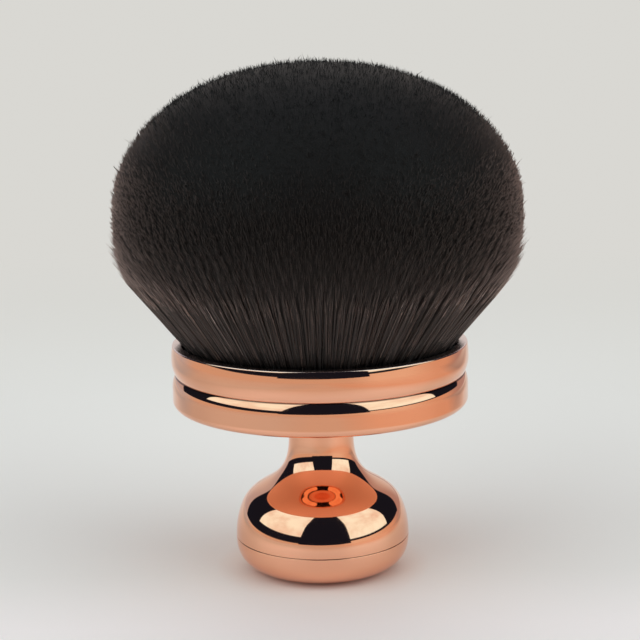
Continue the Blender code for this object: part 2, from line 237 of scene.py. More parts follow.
# Painted shade under the ferrule's crease: how far below it reaches, how far above it spills, and
# its strength
CREASE_SHADE = 0.22 * MM
CREASE_SPILL = 0.02 * MM
PAINTED_CREASE_SHADE_STRENGTH = 0.85
PLATING_WAVE = 0.004 * MM
MOULDING_GRAIN = 0.01 * MM
TOOL_MARKS = 0.004 * MM
TOOL_MARK_DULL = 0.12
STEEL_ROUGH = 0.28
BRASS_ROUGH = 0.22
GLUE_LUMPS = 0.05 * MM
CORE_STREAKS = 0.03 * MM

# Camera, solved from the photograph's outline
CAMERA_PLACE = (0.125 * MM, -267.52 * MM, 96.62 * MM)
CAMERA_PITCH = math.radians(10.67)
CAMERA_ROLL = math.radians(0.895)
CAMERA_LENS = 84.375
SENSOR_WIDTH = 36.0
CLIP_NEAR = 0.01
CLIP_FAR = 20.0

# Room, as light that comes from each part of it
PALE = (0.694, 0.684, 0.650)
TABLE_LEFT = (0.665, 0.555, 0.455)
TABLE_BRIGHT = (0.82, 0.71, 0.59)
TABLE_RIGHT = (0.70, 0.495, 0.375)
TABLE_SIDE_LEFT = (0.53, 0.59, 0.66)
TABLE_SIDE_RIGHT = (0.44, 0.34, 0.33)
BACKDROP_LEFT = (0.50, 0.51, 0.56)
BACKDROP_RIGHT = (0.44, 0.34, 0.33)
ROOM = (0.009, 0.013, 0.027)
WINDOW_DIM = (0.90, 0.92, 0.88)
WINDOW_BRIGHT = (1.07, 1.56, 1.62)
WINDOW_LIGHT = (1.7, 1.9, 1.95)
CEILING = (0.97, 0.95, 1.02)
CEILING_LIGHT = (1.05, 1.05, 1.05)

# Dark gap between the windows, in degrees: half its width and its middle, at level and higher up
GAP_WIDTHS = (34.5, 21.5)
GAP_MIDDLES = (2.5, 6.5)
GAP_HEIGHT = 60.0

# Directions in the room, in degrees round the brush from the camera's side and up from level;
# a pair is an edge and the width of its step
WINDOW_END = (97.0, 1.0)
WINDOW_SOFT = 1.0
SILL_LEFT = 10.0
SILL_RIGHT = 5.0
MIDLINE = (0.0, 0.5)
BACKDROP_EDGE = 128.0
BACKDROP_LEAN = 0.6
BACKDROP_SOFT = 2.0
BACKDROP_PALE = (155.0, 20.0)
FRONT_END = (100.0, 10.0)
CEILING_EDGE = 50.0
CEILING_FRONT_RISE = 24.0
CEILING_SOFT = 3.0
HORIZON_LEFT = 0.8
HORIZON_RIGHT = 2.3
HORIZON_SOFT = 0.6
CLOUD_STEP = (0.44, 0.5)
CLOUD_SCALE = 3.0
LEFT_WINDOW_SHARE = 0.9
TABLE_BRIGHT_FROM = (32.0, 26.0)
TABLE_RIGHT_FROM = (82.0, 44.0)
TABLE_SIDE_FROM = (116.0, 24.0)
TABLE_MIDLINE = (0.0, 1.0)

# Colours of the table top round the brush: its own pale colour, then painted light, shade and
# reflections by place
FLOOR_MIDDLE = (0.88, 0.85, 0.82)
FLOOR_BACK_PAINTED_SHADE = (0.785, 0.755, 0.71)
FLOOR_FRONT_PAINTED_LIGHT = (0.94, 0.88, 0.87)
FLOOR_FOOT_PAINTED_GLOW_AND_SHADE = (0.85, 0.64, 0.55)
FLOOR_LEFT_PAINTED_REFLECTION = (0.70, 0.635, 0.59)
FLOOR_RIGHT_PAINTED_REFLECTION = (0.88, 0.56, 0.40)
FLOOR_SIDE_LEFT_PAINTED_REFLECTION = (0.52, 0.56, 0.62)
FLOOR_SIDE_RIGHT_PAINTED_REFLECTION = (0.42, 0.33, 0.31)
FLOOR_CAMERA_PAINTED_REFLECTION = (0.80, 0.66, 0.565)

# Table top, in metres; a pair is where a tint starts and where it is full; the tints are painted
# light, shade and reflections
FLOOR_RADIUS = 3.0
FLOOR_SEGMENTS = 96
FADE_BAND = (0.15, 0.42)
FOOT_PAINTED_GLOW_BAND = (0.020, 0.008)
BACK_PAINTED_SHADE_BAND = (0.05, 0.30)
FRONT_PAINTED_LIGHT_BAND = (-0.005, -0.03)
CAMERA_PAINTED_REFLECTION_BAND = (-0.06, -0.12)
LEFT_PAINTED_REFLECTION_BAND = (-0.055, -0.115)
RIGHT_PAINTED_REFLECTION_BAND = (0.07, 0.13)
SIDE_PAINTED_REFLECTION_BAND = (0.08, 0.115)
SIDE_BACK_PAINTED_REFLECTION_BAND = (0.04, 0.10)
MIDDLE_BAND = (-0.01, 0.01)
BEHIND_BAND = (0.24, 0.16)
BEHIND_START = (0.0, 0.05)
SIDE_DRIFT = 0.25
MOTTLE_SCALE = 8.0
MOTTLE = 0.06


def arc(centre, reach, rise, start, end, count, power=2.0):
    """Points on a superellipse arc, its angles counted up from straight out."""
    points = []
    for step in range(count + 1):
        angle = start + (end - start) * step / count
        across = math.copysign(abs(math.cos(angle)) ** (2 / power), math.cos(angle))
        up = math.copysign(abs(math.sin(angle)) ** (2 / power), math.sin(angle))
        points.append((centre[0] + reach * across, centre[1] + rise * up))
    return points


def bezier(first, handle_a, handle_b, last, count):
    """Points on one cubic Bezier curve, both ends included."""
    points = []
    for step in range(count + 1):
        t = step / count
        shares = ((1 - t) ** 3, 3 * t * (1 - t) ** 2, 3 * t ** 2 * (1 - t), t ** 3)
        corners = (first, handle_a, handle_b, last)
        points.append(tuple(sum(s * p[axis] for s, p in zip(shares, corners)) for axis in (0, 1)))
    return points


def rounded(outline, closed, sharp):
    """Replace each corner of an outline, but for one that stays sharp, with a small curve."""
    count = len(outline)
    points = []
    for index in range(count):
        here = Vector(outline[index])
        if not closed and index in (0, count - 1):
            points.append(here)
            continue
        before = Vector(outline[index - 1]) - here
        after = Vector(outline[(index + 1) % count]) - here
        if outline[index] == sharp or math.pi - before.angle(after) < CORNER_TURN:
            points.append(here)
            continue
        start = here + before.normalized() * min(EDGE_ROUND, before.length * EDGE_SHARE)
        end = here + after.normalized() * min(EDGE_ROUND, after.length * EDGE_SHARE)
        for step in range(EDGE_POINTS + 1):
            t = step / EDGE_POINTS
            points.append(start * (1 - t) ** 2 + here * 2 * t * (1 - t) + end * t ** 2)
    return points


def stepped(points, closed):
    """Split long straight runs, so that shading stays true beside a curve."""
    ends = points[1:] + points[:1] if closed else points[1:]
    result = []
    for start, end in zip(points, ends):
        count = max(1, math.ceil((end - start).length / OUTLINE_STEP))
        result += [start.lerp(end, step / count) for step in range(count)]
    return result if closed else result + [points[-1]]


def turned(name, outline, paint, turns=TURNS, sharp=None):
    """A closed solid of revolution about the world Z axis, with a strip-wise UV map."""
    closed = outline[0][0] > ON_AXIS or outline[-1][0] > ON_AXIS
    points = stepped(rounded(outline, closed, sharp), closed)
    rings = []
    places = []
    for point in points:
        rings.append(len(places))
        if point.x < ON_AXIS:
            places.append((0.0, 0.0, point.y))
            continue
        for turn in range(turns):
            angle = math.tau * turn / turns
            places.append((point.x * math.cos(angle), point.x * math.sin(angle), point.y))
    pairs = list(zip(range(len(points)), range(1, len(points))))
    if closed:
        pairs.append((len(points) - 1, 0))
    faces = []
    corners = []
    for row, (upper, lower) in enumerate(pairs):
        low, high = row / len(pairs), (row + 1) / len(pairs)
        for turn in range(turns):
            following = (turn + 1) % turns
            left, right = turn / turns, (turn + 1) / turns
            face = []
            if points[upper].x < ON_AXIS:
                face.append((rings[upper], left, low))
            else:
                face += [(rings[upper] + following, right, low), (rings[upper] + turn, left, low)]
            if points[lower].x < ON_AXIS:
                face.append((rings[lower], left, high))
            else:
                face += [(rings[lower] + turn, left, high), (rings[lower] + following, right, high)]
            faces.append([vertex for vertex, _, _ in face])
            corners += [(u, v) for _, u, v in face]
    mesh = bpy.data.meshes.new(name)
    mesh.from_pydata(places, [], faces)
    layer = mesh.uv_layers.new(name="OFBake")
    layer.data.foreach_set("uv", np.array(corners, np.float32).ravel())
    mesh.materials.append(paint)
    shape = bmesh.new()
    shape.from_mesh(mesh)
    bmesh.ops.recalc_face_normals(shape, faces=shape.faces[:])
    shape.to_mesh(mesh)
    shape.free()
    mesh.shade_smooth()
    mesh.set_sharp_from_angle(angle=SHARP_TURN)
    piece = bpy.data.objects.new(name, mesh)
    bpy.context.scene.collection.objects.link(piece)
    return piece


class Nodes:
    """A node tree with short calls to add and join its nodes."""

    def __init__(self, tree):
        self.tree = tree

    def join(self, socket, value):
        """Link a socket to a value that comes from a node, or else set it."""
        if isinstance(value, bpy.types.NodeSocket):
            self.tree.links.new(value, socket)
        else:
            socket.default_value = value

    def add(self, kind, values=None, **settings):
        """A new node, with values or links for its inputs and its settings by name."""
        node = self.tree.nodes.new(kind)
        for key, value in settings.items():
            setattr(node, key, value)
        for key, value in (values or {}).items():
            self.join(node.inputs[key], value)
        return node

    def maths(self, operation, *values):
        """Result of one sum on numbers or sockets."""
        return self.add("ShaderNodeMath", dict(enumerate(values)), operation=operation).outputs[0]

    def ranged(self, value, low, high, to_low=0.0, to_high=1.0):
        """Carry a value from one range to another, and hold it at the ends."""
        values = {"Value": value, "From Min": low, "From Max": high, "To Min": to_low,
                  "To Max": to_high}
        return self.add("ShaderNodeMapRange", values).outputs["Result"]

    def above(self, value, edge, soft):
        """One where a value is above an edge, nought below it, with a soft step between."""
        values = {"Value": self.maths("SUBTRACT", value, edge), "From Min": -soft / 2,
                  "From Max": soft / 2}
        return self.add("ShaderNodeMapRange", values, interpolation_type="SMOOTHSTEP").outputs[0]

    def blend(self, share, first, second):
        """Mix two colours by a share."""
        node = self.add("ShaderNodeMix", {"Factor": share}, data_type="RGBA")
        for key, value in (("A", first), ("B", second)):
            self.join(node.inputs[key], (*value, 1.0) if isinstance(value, tuple) else value)
        return node.outputs["Result"]

    def split(self, vector):
        """The X, Y and Z of a vector."""
        return self.add("ShaderNodeSeparateXYZ", {0: vector}).outputs

    def azimuth(self, parts):
        """Degrees round the brush from the camera's side, right of it counted up."""
        radians = self.maths("ARCTAN2", parts["X"], self.maths("MULTIPLY", parts["Y"], -1.0))
        return self.maths("MULTIPLY", radians, math.degrees(1))

    def table(self, azimuth):
        """Light that the far table sends towards the brush from each side."""
        tint = self.blend(self.above(azimuth, *TABLE_BRIGHT_FROM), TABLE_LEFT, TABLE_BRIGHT)
        tint = self.blend(self.above(azimuth, *TABLE_RIGHT_FROM), tint, TABLE_RIGHT)
        side = self.blend(self.above(azimuth, *TABLE_MIDLINE), TABLE_SIDE_LEFT, TABLE_SIDE_RIGHT)
        turn = self.maths("ABSOLUTE", azimuth)
        return self.blend(self.above(turn, *TABLE_SIDE_FROM), tint, side)


class Paint(Nodes):
    """The node tree of a new material."""

    def __init__(self, name):
        self.material = bpy.data.materials.new(name)
        self.material.use_nodes = True
        super().__init__(self.material.node_tree)
        self.shader = self.tree.nodes["Principled BSDF"]

    def set(self, **values):
        """Set the shader's sockets by name, with spaces written as underscores."""
        for key, value in values.items():
            self.join(self.shader.inputs[key.replace("_", " ")], value)

    def place(self):
        """Place on the object, in metres."""
        return self.add("ShaderNodeTexCoord").outputs["Object"]

    def noise(self, scale, detail=2.0, roughness=0.5, at=None):
        """Cloudy noise, by default at each place on the object."""
        values = {"Vector": at or self.place(), "Scale": scale, "Detail": detail,
                  "Roughness": roughness}
        return self.add("ShaderNodeTexNoise", values).outputs["Fac"]

    def bump(self, height, distance, strength=1.0):
        """Fine relief from a height between nought and one, as deep as the distance."""
        values = {"Height": height, "Distance": distance, "Strength": strength}
        return self.add("ShaderNodeBump", values).outputs["Normal"]


def rose_gold():
    """Bright electroplate: nearly a mirror, with painted shade under the crease, and paler and
    duller on the lip from wear and a painted highlight.
    """
    paint = Paint("rose_gold_plating")
    place = paint.place()
    height = paint.split(place)["Z"]
    plain = paint.blend(paint.noise(scale=70.0, detail=3.0, at=place), PLATING, PLATING_DEEP)
    crease = NECK_TOP + CREASE_HEIGHT
    # Painted shade: a dark band just under the crease, fading out below it and just above the crease
    shade = paint.maths("MULTIPLY",
                        paint.ranged(height, crease - CREASE_SHADE, crease - CREASE_SHADE / 2),
                        paint.ranged(height, crease + CREASE_SPILL, crease))
    plain = paint.blend(paint.maths("MULTIPLY", shade, PAINTED_CREASE_SHADE_STRENGTH), plain, PLATING_SHADE)
    # The lip band: duller from wear, and paler from wear and as a painted highlight
    wear_and_highlight = paint.ranged(height, LIP_TOP - LIP_WEAR_AND_HIGHLIGHT, LIP_TOP - LIP_WEAR_AND_HIGHLIGHT / 2)
    smear = paint.noise(scale=110.0, detail=4.0, roughness=0.6, at=place)
    smudge = paint.ranged(smear, *SMUDGE_RANGE, to_low=0.035, to_high=0.075)
    rough = paint.maths("ADD", smudge, paint.ranged(wear_and_highlight, 0.0, 1.0, to_high=LIP_DULL))
    paint.set(Base_Color=paint.blend(wear_and_highlight, plain, PLATING_WORN_AND_HIGHLIGHT), Metallic=1.0, Roughness=rough,
              Normal=paint.bump(paint.noise(scale=120.0, detail=1.0), PLATING_WAVE))
    return paint.material


def black_moulding():
    """Satin black moulded plastic with a fine grain."""
    paint = Paint("black_moulding")
    grain = paint.noise(scale=2500.0, detail=3.0)
    paint.set(Base_Color=paint.blend(paint.noise(scale=300.0), MOULDING_DARK, MOULDING_PALE),
              Roughness=paint.ranged(grain, *GRAIN_RANGE, to_low=0.38, to_high=0.55),
              Normal=paint.bump(grain, MOULDING_GRAIN))
    return paint.material


def turned_metal(name, bright, dull, rough):
    """Machined metal with fine rings left by the tool."""
    paint = Paint(name)
    place = paint.place()
    rings = paint.add("ShaderNodeTexWave", {"Vector": place, "Scale": 900.0, "Distortion": 1.5},
                      wave_type="RINGS", rings_direction="Z").outputs["Fac"]
    tint = paint.blend(paint.noise(scale=400.0, at=place), bright, dull)
    roughness = paint.ranged(rings, 0.0, 1.0, to_low=rough, to_high=rough + TOOL_MARK_DULL)
    paint.set(Base_Color=tint, Metallic=1.0, Roughness=roughness,
              Normal=paint.bump(rings, TOOL_MARKS))
    return paint.material


def cured_glue():
    """Amber glue, clear at the surface and cloudy within."""
    paint = Paint("cured_glue")
    cloud = paint.noise(scale=350.0, detail=4.0)
    paint.set(Base_Color=paint.blend(cloud, GLUE_AMBER, GLUE_CLOUDY),
              Roughness=paint.ranged(cloud, *GRAIN_RANGE, to_low=0.15, to_high=0.35),
              Normal=paint.bump(cloud, GLUE_LUMPS))
    return paint.material


def fibre_paint(name, sheen):
    """Dark brownish-black fibre, paler where its tone is high, with a warm sheen at a slant; the
    tone also carries painted shade and glints.
    """
    paint = Paint(name)
    tone = paint.add("ShaderNodeAttribute", attribute_name="tone").outputs["Fac"]
    streak = paint.noise(scale=900.0)
    change = paint.ranged(streak, *GRAIN_RANGE, to_low=STREAK_LEAST, to_high=STREAK_MOST)
    share = paint.maths("MULTIPLY", tone, change)
    paint.set(Base_Color=paint.blend(share, FIBRE_DARK, FIBRE_PALE), Specular_IOR_Level=0.18,
              Roughness=paint.ranged(streak, *GRAIN_RANGE, to_low=0.45, to_high=0.6),
              Sheen_Weight=sheen, Sheen_Roughness=0.48, Sheen_Tint=SHEEN_TINT)
    return paint.material


def core_paint():
    """Painted shade between the fibres, streaked along them, paler low down, with painted shade
    towards the crown.
    """
    paint = Paint("tuft_shade")
    place = paint.place()
    height = paint.split(place)["Z"]
    reach = paint.maths("MULTIPLY_ADD", height, FAN_SLOPE, ROOT_RADIUS - FAN_SLOPE * ROOT_TOP)
    stretch = paint.add("ShaderNodeCombineXYZ", {0: reach, 1: reach, 2: 1.0}).outputs[0]
    root = paint.add("ShaderNodeVectorMath", {0: place, 1: stretch}, operation="DIVIDE").outputs[0]
    streak = paint.noise(scale=170.0, detail=3.0, at=root)
    rise = paint.ranged(height, ROOT_TOP, WIDEST, TONE_LOW, TONE_MIDDLE)
    fall = paint.ranged(height, WIDEST, HEAD_TOP, to_high=TONE_MIDDLE - CROWN_PAINTED_SHADE_TONE)
    change = paint.ranged(streak, *GRAIN_RANGE, to_low=STREAK_LEAST, to_high=STREAK_MOST)
    share = paint.maths("MULTIPLY", paint.maths("SUBTRACT", rise, fall), change)
    paint.set(Base_Color=paint.blend(share, FIBRE_DARK, FIBRE_PALE), Roughness=0.6,
              Specular_IOR_Level=0.1, Normal=paint.bump(streak, CORE_STREAKS),
              Sheen_Weight=CORE_SHEEN, Sheen_Roughness=0.35, Sheen_Tint=SHEEN_TINT)
    return paint.material


def base_cap(paint):
    """Rounded bowl below the seam, with its spigot ring."""
    rim = SEAM_HEIGHT - SEAM_GAP
    spigot_top = SEAM_HEIGHT + SKIRT_DEPTH - SPIGOT_GAP
    outline = [(0, CAP_FLOOR), (CHAMBER_RADIUS, CAP_FLOOR), (CHAMBER_RADIUS, spigot_top),
               (SPIGOT_RADIUS, spigot_top), (SPIGOT_RADIUS, rim)]
    outline += arc((FOOT_RADIUS, rim), KNOB_RADIUS - FOOT_RADIUS, rim, 0, -math.pi / 2,
                   CURVE_POINTS, CAP_CORNER_POWER)
    outline += [(0, 0)]
    return turned("base_cap_plated", outline, paint)


def handle(paint):
    """Shoulder, cove and neck above the seam, hollow as the frame's handle is."""
    shoulder = arc((KNOB_RADIUS - SHOULDER_REACH, SEAM_HEIGHT), SHOULDER_REACH, SHOULDER_RISE,
                   SHOULDER_END, 0, CURVE_POINTS)
    top = Vector(shoulder[0])
    along = Vector((-SHOULDER_REACH * math.sin(SHOULDER_END),
                    SHOULDER_RISE * math.cos(SHOULDER_END))).normalized()
    cove = bezier((NECK_RADIUS, COVE_TOP), (NECK_RADIUS, COVE_TOP - COVE_NECK_HANDLE),
                  top + along * COVE_SHOULDER_HANDLE, top, CURVE_POINTS)
    neck_top = NECK_TOP - NECK_GAP
    spigot_top = NECK_TOP + NECK_SPIGOT_RISE
    skirt_top = SEAM_HEIGHT + SKIRT_DEPTH
    ceiling = SEAM_HEIGHT + CHAMBER_RISE
    outline = [(0, INSERT_SEAT_FLOOR), (INSERT_SEAT_RADIUS, INSERT_SEAT_FLOOR),
               (INSERT_SEAT_RADIUS, spigot_top), (NECK_SPIGOT_RADIUS, spigot_top),
               (NECK_SPIGOT_RADIUS, neck_top), (NECK_RADIUS, neck_top)]
    outline += cove
    outline += shoulder[1:]
    outline += [(KNOB_RADIUS - SKIRT_WALL, SEAM_HEIGHT), (KNOB_RADIUS - SKIRT_WALL, skirt_top),
                (CHAMBER_RADIUS, skirt_top), (CHAMBER_RADIUS, ceiling), (0, ceiling)]
    return turned("handle_plated", outline, paint)


def ferrule(paint):
    """Two swelling bands, a crease between them and a flat lip over the cup."""
    lower_radius = FERRULE_RADIUS - LOWER_BAND_INSET
    corner = arc((lower_radius - CORNER_REACH, NECK_TOP + CORNER_RISE), CORNER_REACH, CORNER_RISE,
                 0, -math.pi / 2, CURVE_POINTS)
    lip_centre = LIP_TOP - LIP_ROUND
    crest = lip_centre - (UPPER_BAND_RADIUS - LIP_ROUND) * math.sin(UPPER_BAND_TOP)
    upper = arc((FERRULE_RADIUS - UPPER_BAND_RADIUS, crest), UPPER_BAND_RADIUS,
                UPPER_BAND_RADIUS, UPPER_BAND_TOP, 0, CURVE_POINTS)
    drop = crest - NECK_TOP - CREASE_HEIGHT
    foot_radius = (drop ** 2 + CREASE_INSET ** 2) / (2 * CREASE_INSET)
    foot = arc((FERRULE_RADIUS - foot_radius, crest), foot_radius, foot_radius,
               0, -math.asin(drop / foot_radius), CURVE_POINTS)
    out = Vector((math.sin(CREASE_LEAN), -math.cos(CREASE_LEAN)))
    band_top = NECK_TOP + LOWER_BAND_HEIGHT
    waist = bezier(foot[-1], Vector(foot[-1]) + out * CREASE_HANDLE,
                   (lower_radius, band_top + WAIST_HANDLE), (lower_radius, band_top), CURVE_POINTS)
    bore = FERRULE_RADIUS - FERRULE_WALL
    lip_radius = upper[0][0] - LIP_ROUND * math.cos(UPPER_BAND_TOP)
    lip = arc((lip_radius, lip_centre), LIP_ROUND, LIP_ROUND, math.pi / 2, UPPER_BAND_TOP,
              EDGE_POINTS * 2)
    outline = [(bore + LIP_BEVEL, LIP_TOP)] + lip + upper[1:] + foot[1:] + waist[1:] + corner
    outline += [(FLOOR_HOLE_RADIUS, NECK_TOP), (FLOOR_HOLE_RADIUS, NECK_TOP + FERRULE_FLOOR),
                (bore, NECK_TOP + FERRULE_FLOOR), (bore, LIP_TOP - LIP_BEVEL)]
    return turned("ferrule_plated", outline, paint, sharp=foot[-1])


def head_radius(height):
    """Radius of the tuft's outline at each height: a crown, a belly and the straight fan below."""
    share = np.clip((height - WIDEST) / CROWN_RISE, 0.0, 1.0)
    crown = HEAD_RADIUS * (1 - share ** CROWN_POWER) ** (1 / CROWN_POWER)
    share = np.clip((WIDEST - height) / BELLY_DROP, 0.0, 1.0)
    belly = HEAD_RADIUS * (1 - share ** BELLY_POWER) ** (1 / BELLY_POWER)
    fan = fan_radius(1.0, height)
    soft = CORNER_SOFTNESS * np.logaddexp(0.0, (fan - belly) / CORNER_SOFTNESS)
    return np.where(height > WIDEST, crown, fan - soft)


def fan_radius(spread, height):
    """Radius at a height of the straight fibre that starts at a share of the root disc."""
    return spread * (ROOT_RADIUS + FAN_SLOPE * (height - ROOT_TOP))


def tip_height(spread):
    """Height where a fibre leaves the tuft's outline, found by halving."""
    low = np.full_like(spread, ROOT_TOP)
    high = np.full_like(spread, HEAD_TOP)
    for _ in range(HALVINGS):
        middle = (low + high) / 2
        inside = fan_radius(spread, middle) < head_radius(middle)
        low = np.where(inside, middle, low)
        high = np.where(inside, high, middle)
    return low


def core(paint):
    """Dark body, painted as the shade among the packed fibres, that fills the tuft a little below
    the fibres' tips.
    """
    belly = np.linspace(ROOT_TOP + CORE_DEPTH, WIDEST, CORE_BELLY_ROWS)
    crown = WIDEST + CROWN_RISE * np.sin(np.linspace(0, math.pi / 2, CORE_CROWN_ROWS)[1:])
    heights = np.concatenate([belly, crown])
    radii = head_radius(heights)
    slope = np.clip(np.gradient(radii, heights), -STEEPEST, STEEPEST)
    inset = CORE_DEPTH / np.hypot(1.0, slope)
    outline = list(zip(np.maximum(radii - inset, 0.0).tolist(), (heights + inset * slope).tolist()))
    outline[-1] = (0.0, HEAD_TOP - CORE_DEPTH)
    outline = outline[::-1]
    outline += [(outline[-1][0], ROOT_BASE), (0, ROOT_BASE)]
    return turned("tuft_core", outline, paint, turns=CORE_TURNS)


def clump_centres(draw):
    """Evenly scattered points of the unit disc, by the golden angle and a little shake."""
    index = np.arange(CLUMPS) + 0.5
    spread = np.sqrt(index / CLUMPS)
    angle = index * math.pi * (3 - math.sqrt(5))
    points = np.stack([spread * np.cos(angle), spread * np.sin(angle)], 1)
    return points + draw.normal(0, CLUMP_SHAKE / math.sqrt(CLUMPS), points.shape)


def nearest(points, centres):
    """Nearest centre to each point, in blocks that keep the memory small."""
    found = []
    for block in np.array_split(points, SEARCH_BLOCKS):
        gaps = ((block[:, None, :] - centres[None, :, :]) ** 2).sum(2)
        found.append(gaps.argmin(1))
    return np.concatenate(found)


def body_normal(places):
    """Direction straight out of the tuft's body at points in or on it."""
    across = places[..., :2]
    reach = np.linalg.norm(across, axis=-1)
    height = places[..., 2]
    above = np.maximum(height - WIDEST, 0.0)
    power = CROWN_POWER - 1
    out = np.where(height > WIDEST, (reach / HEAD_RADIUS) ** power / HEAD_RADIUS, 1.0)
    levels = np.linspace(ROOT_BASE, HEAD_TOP, OUTLINE_POINTS)
    lean = np.interp(height, levels, np.gradient(head_radius(levels), levels))
    up = np.where(height > WIDEST, (above / CROWN_RISE) ** power / CROWN_RISE, -lean)
    ring = across / np.maximum(reach, ON_AXIS)[..., None]
    normal = np.concatenate([ring * out[..., None], up[..., None]], -1)
    return normal / np.linalg.norm(normal, axis=-1)[..., None]


def below_widest(places):
    """How far down from the widest height points lie: one at the roots, under nought above it."""
    return (WIDEST - places[..., 2]) / (WIDEST - ROOT_TOP)


def smooth_step(value, low, high):
    """Nought below a range, one above it and an even curve between."""
    share = np.clip((value - low) / (high - low), 0, 1)
    return share * share * (3 - 2 * share)


def pick_spreads(kind, draw):
    """Shares of the root disc's radius for one kind of fibre, denser where it prevails."""
    spread = np.sqrt(draw.random(FIBRES_PER_BATCH * DRAWS_PER_FIBRE))
    past_crown = smooth_step(spread, *CROWN_EDGE)
    past_middle = smooth_step(spread, *FLANK_EDGE)
    chances = {"crown": 1 - past_crown, "middle": past_crown * (1 - past_middle),
               "flank": past_middle}
    return spread[draw.random(len(spread)) < chances[kind]][:FIBRES_PER_BATCH]


def fibre_lengths(spread, edge, lock, draw):
    """Lengths as shares of the way to the tuft's outline, and which fibres stray."""
    count = len(spread)
    outer = np.clip((spread - OUTER_SPREAD) / (1 - OUTER_SPREAD), 0, 1)
    scatter = np.abs(draw.normal(0, 1.0, count)) * (TIP_SCATTER + FLANK_SCATTER * outer)
    stray = draw.random(count) < STRAY_SHARE
    reach = np.where(stray, draw.random(count) * STRAY_REACH, 0)
    length = 1 - np.clip(scatter, 0, SCATTER_LIMIT) + reach
    length += edge ** 3 * LOCK_REACH * np.clip(lock + LOCK_SHARE - 1, 0, 1)
    length += edge ** 3 * LONE_REACH * draw.random(count) * (draw.random(count) < LONE_SHARE)
    return length, stray


def centre_lines(kind, draw, centres):
    """Rows of points along a batch's fibres, each with its share of the length, and clump tones."""
    count = FIBRES_PER_BATCH
    spread = pick_spreads(kind, draw)
    angle = draw.random(count) * math.tau
    root = np.stack([spread * np.cos(angle), spread * np.sin(angle)], 1)
    clump = nearest(root, centres)
    centre = centres[clump]
    clump_tone = draw.random(CLUMPS)[clump]
    lock = draw.random(CLUMPS)[clump]
    edge = np.clip((spread - EDGE_START) / EDGE_WIDTH, 0, 1)
    length, stray = fibre_lengths(spread, edge, lock, draw)
    top = tip_height(np.minimum(spread, LARGEST_SPREAD))
    length += (FUZZ * draw.random(count) ** 2 - TIP_INSET) / (top - ROOT_TOP)
    start = HIDDEN_SHARE * smooth_step(1 - spread, 0, START_RAMP)
    joints = [least + reach * draw.random(count) for least, reach in JOINT_SHARES]
    clump_pull = CLUMP_PULL + (FLANK_PULL - CLUMP_PULL) * edge
    sway = np.where(stray, STRAY_WANDER, 1.0)[:, None]
    rows = []
    for row, share in enumerate([np.zeros(count), *joints, np.ones(count)]):
        along = (start + (1 - start) * share) * length
        pull = clump_pull * np.clip(along, 0, 1) ** 2
        wander = draw.normal(0, WANDER, (count, 2)) * sway
        spot = root + (centre - root) * pull[:, None] + wander * min(row, 1)
        height = ROOT_TOP + along * (top - ROOT_TOP)
        stretch = fan_radius(1.0, np.minimum(height, HEAD_TOP))
        rows.append((np.column_stack([spot * stretch[:, None], height]), along))
    return rows, clump_tone


def fibre_points(rows, draw):
    """Corners round each centre line, with their shares of the length and their ways out."""
    count = FIBRES_PER_BATCH
    twist = draw.random(count) * math.tau
    thick = FIBRE_RADIUS * (THICK_LEAST + THICK_RANGE * draw.random(count))
    places = np.zeros((count, CORNERS, 3))
    shares = np.zeros((count, CORNERS))
    ways = np.zeros((count, CORNERS, 3))
    line = rows[-1][0] - rows[0][0]
    line /= np.linalg.norm(line, axis=1)[:, None]
    across = np.cross(line, SIDE_GUIDE)
    across /= np.linalg.norm(across, axis=1)[:, None] + TINY
    other = np.cross(line, across)
    for row, (centre_line, along) in enumerate(rows[:-1]):
        for side in range(SIDES):
            turn = twist + math.tau * side / SIDES
            way = across * np.cos(turn)[:, None] + other * np.sin(turn)[:, None]
            corner = row * SIDES + side
            places[:, corner] = centre_line + way * thick[:, None]
            shares[:, corner] = along
            ways[:, corner] = way
    places[:, -1], shares[:, -1] = rows[-1]
    ways[:, -1] = ways[:, -2]
    return places, shares, ways


def fibre_tones(places, clump_tone, draw):
    """How pale each corner is: paler and more mixed low down with painted glints on a few fibres,
    and painted shade towards the crown and just over the lip.
    """
    own_tone = draw.random(len(places))
    low = np.clip(below_widest(places), -1, 1)
    below = np.clip(low, 0, 1)
    level = TONE_MIDDLE + np.where(low > 0, (TONE_LOW - TONE_MIDDLE) * low,
                                   (TONE_MIDDLE - CROWN_PAINTED_SHADE_TONE) * low)
    change = (CLUMP_CHANGE * (clump_tone - 0.5) + OWN_CHANGE * (own_tone - 0.5))[:, None]
    # Painted glints on a few fibres, and paler low down on all
    glint = np.where(own_tone > GLINT_EDGE, GLINT_BRIGHT, GLINT_PLAIN)[:, None] * below
    tones = level * (1 + change * (CHANGE_TOP + CHANGE_LOW * below) + glint)
    # Painted shade just over the lip
    return tones * np.clip((places[..., 2] - LIP_TOP) / ROOT_SHADE, ROOT_SHADE_LEAST, 1)


def fibre_normals(kind, places, shares, ways, draw):
    """Directions for shading: the body's, part of each fibre's own, and a lean low down."""
    least, most = OWN_NORMAL[kind]
    own = (least + (most - least) * np.clip(shares, 0, 1))[..., None]
    normals = body_normal(places) * (1 - own) + ways * own
    lean = draw.normal(0, FIBRE_LEAN, (len(places), 1, 3))
    normals += lean * np.clip(below_widest(places), 0, 1)[..., None]
    return normals / np.linalg.norm(normals, axis=-1)[..., None]


def fibre_faces():
    """Corner numbers of one fibre's faces: quads up its sides and a triangle each at the tip."""
    faces = []
    last = CORNERS - 1 - SIDES
    for ring in range(0, last, SIDES):
        for side in range(SIDES):
            left, right = ring + side, ring + (side + 1) % SIDES
            faces.append((left, right, right + SIDES, left + SIDES))
    return faces + [(last + side, last + (side + 1) % SIDES, CORNERS - 1) for side in range(SIDES)]


